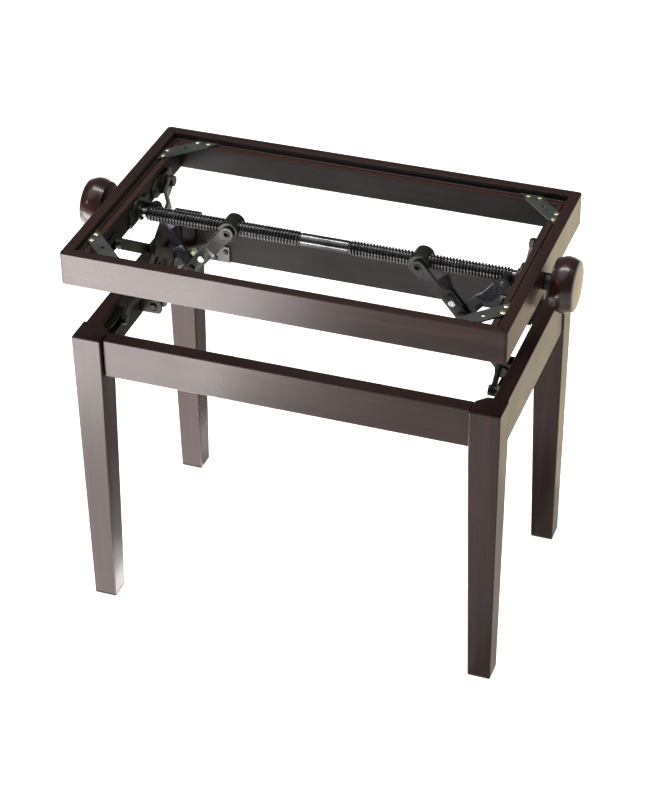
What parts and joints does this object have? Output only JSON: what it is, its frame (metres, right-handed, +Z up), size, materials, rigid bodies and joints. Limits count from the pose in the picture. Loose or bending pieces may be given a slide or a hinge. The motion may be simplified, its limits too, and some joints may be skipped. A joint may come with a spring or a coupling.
{
  "type": "piano bench frame",
  "caption": "Height-adjustable piano bench frame without its pad: wooden legs, aprons and seat frame, lifted by a threaded spindle with knobs, toggle links and end scissors.",
  "frame": {"origin": "on the floor under the middle of the bench", "axes": "+X along the bench to the sitter's right, +Y to the back, +Z up"},
  "size_m": [0.6288, 0.336, 0.5217],
  "materials": {
    "base_wood": "dark mahogany stain under satin lacquer",
    "seat_wood": "dark mahogany stain under satin lacquer",
    "knob_wood": "dark red-brown stain under gloss lacquer",
    "plate_steel": "satin black",
    "black_steel": "satin black",
    "spindle_steel": "gloss black oxide",
    "black_plastic": "matte black",
    "zinc": "zinc plated"
  },
  "bodies": {
    "base": {"leg_fl": "base_wood", "leg_fr": "base_wood", "leg_bl": "base_wood", "leg_br": "base_wood", "apron_front": "base_wood", "apron_back": "base_wood", "apron_left": "base_wood", "apron_right": "base_wood", "leg_plate_fl": "plate_steel", "leg_plate_fr": "plate_steel", "leg_plate_bl": "plate_steel", "leg_plate_br": "plate_steel", "leg_bolt_fl": "zinc", "leg_bolt_fr": "zinc", "leg_bolt_bl": "zinc", "leg_bolt_br": "zinc", "lift_clevis_r": "black_steel", "lift_clevis_l": "black_steel", "lower_channel_r": "black_steel", "lower_channel_l": "black_steel", "lower_pivot_r": "black_steel", "lower_pivot_l": "black_steel"},
    "seat": {"seat_rail_front": "seat_wood", "seat_rail_back": "seat_wood", "seat_rail_left": "seat_wood", "seat_rail_right": "seat_wood", "seat_plate_fl": "plate_steel", "seat_plate_fr": "plate_steel", "seat_plate_bl": "plate_steel", "seat_plate_br": "plate_steel", "spindle_bearing_r": "black_steel", "spindle_bearing_l": "black_steel", "upper_channel_r": "black_steel", "upper_channel_l": "black_steel", "upper_pivot_r": "black_steel", "upper_pivot_l": "black_steel", "knob_collar_r": "black_plastic", "knob_collar_l": "black_plastic"},
    "spindle": {"spindle": "spindle_steel", "knob_r": "knob_wood", "knob_l": "knob_wood"},
    "toggle_right": {"toggle_link_r": "black_steel"},
    "drive_arms_right": {"drive_arm_r_a": "black_steel", "drive_arm_r_b": "black_steel", "elbow_pin_r": "spindle_steel", "foot_pin_r": "spindle_steel", "arm_spacer_r": "zinc"},
    "nut_right": {"trunnion_nut_r": "black_steel"},
    "scissor_a_right": {"scissor_arm_r_a": "black_steel"},
    "scissor_b_right": {"scissor_arm_r_b": "black_steel"},
    "toggle_left": {"toggle_link_l": "black_steel"},
    "drive_arms_left": {"drive_arm_l_a": "black_steel", "drive_arm_l_b": "black_steel", "elbow_pin_l": "spindle_steel", "foot_pin_l": "spindle_steel", "arm_spacer_l": "zinc"},
    "nut_left": {"trunnion_nut_l": "black_steel"},
    "scissor_a_left": {"scissor_arm_l_a": "black_steel"},
    "scissor_b_left": {"scissor_arm_l_b": "black_steel"}
  },
  "joints": [
    {"name": "seat_lift", "type": "slide", "parent": "base", "child": "seat", "axis": [0, 0, 1], "range_m": [-0.06, 0.01]},
    {"name": "spindle_turn", "type": "hinge", "parent": "seat", "child": "spindle", "pos_m": [0, 0, 0.4875], "axis": [1, 0, 0], "range_deg": [-4815, 815]},
    {"name": "toggle_swing_right", "type": "hinge", "parent": "seat", "child": "toggle_right", "pos_m": [0.23, 0, 0.4875], "axis": [0, 1, 0], "range_deg": [-4.42, 26.55]},
    {"name": "drive_arm_fold_right", "type": "hinge", "parent": "toggle_right", "child": "drive_arms_right", "pos_m": [0.176, 0, 0.42186], "axis": [0, 1, 0], "range_deg": [-53.1, 8.85]},
    {"name": "nut_tilt_right", "type": "hinge", "parent": "drive_arms_right", "child": "nut_right", "pos_m": [0.122, 0, 0.4875], "axis": [0, 1, 0], "range_deg": [-4.42, 26.55]},
    {"name": "scissor_swing_right", "type": "hinge", "parent": "seat", "child": "scissor_a_right", "pos_m": [0.23, -0.084, 0.4875], "axis": [1, 0, 0], "range_deg": [-3.28, 19.65]},
    {"name": "scissor_cross_right", "type": "hinge", "parent": "scissor_a_right", "child": "scissor_b_right", "pos_m": [0.23, -0.00235, 0.43275], "axis": [1, 0, 0], "range_deg": [-39.31, 6.55]},
    {"name": "toggle_swing_left", "type": "hinge", "parent": "seat", "child": "toggle_left", "pos_m": [-0.23, 0, 0.4875], "axis": [0, 1, 0], "range_deg": [-26.55, 4.42]},
    {"name": "drive_arm_fold_left", "type": "hinge", "parent": "toggle_left", "child": "drive_arms_left", "pos_m": [-0.176, 0, 0.42186], "axis": [0, 1, 0], "range_deg": [-8.85, 53.1]},
    {"name": "nut_tilt_left", "type": "hinge", "parent": "drive_arms_left", "child": "nut_left", "pos_m": [-0.122, 0, 0.4875], "axis": [0, 1, 0], "range_deg": [-26.55, 4.42]},
    {"name": "scissor_swing_left", "type": "hinge", "parent": "seat", "child": "scissor_a_left", "pos_m": [-0.23, 0.084, 0.4875], "axis": [1, 0, 0], "range_deg": [-19.65, 3.28]},
    {"name": "scissor_cross_left", "type": "hinge", "parent": "scissor_a_left", "child": "scissor_b_left", "pos_m": [-0.23, 0.00235, 0.43275], "axis": [1, 0, 0], "range_deg": [-6.55, 39.31]}
  ],
  "couplings": [
    {"joint": "spindle_turn", "follows": "seat_lift", "rad_per_m": 1396.3},
    {"joint": "toggle_swing_right", "follows": "seat_lift", "rad_per_m": -7.7},
    {"joint": "drive_arm_fold_right", "follows": "seat_lift", "rad_per_m": 15.4},
    {"joint": "nut_tilt_right", "follows": "seat_lift", "rad_per_m": -7.7},
    {"joint": "scissor_swing_right", "follows": "seat_lift", "rad_per_m": -5.7},
    {"joint": "scissor_cross_right", "follows": "seat_lift", "rad_per_m": 11.4},
    {"joint": "toggle_swing_left", "follows": "seat_lift", "rad_per_m": 7.7},
    {"joint": "drive_arm_fold_left", "follows": "seat_lift", "rad_per_m": -15.4},
    {"joint": "nut_tilt_left", "follows": "seat_lift", "rad_per_m": 7.7},
    {"joint": "scissor_swing_left", "follows": "seat_lift", "rad_per_m": 5.7},
    {"joint": "scissor_cross_left", "follows": "seat_lift", "rad_per_m": -11.4}
  ]
}
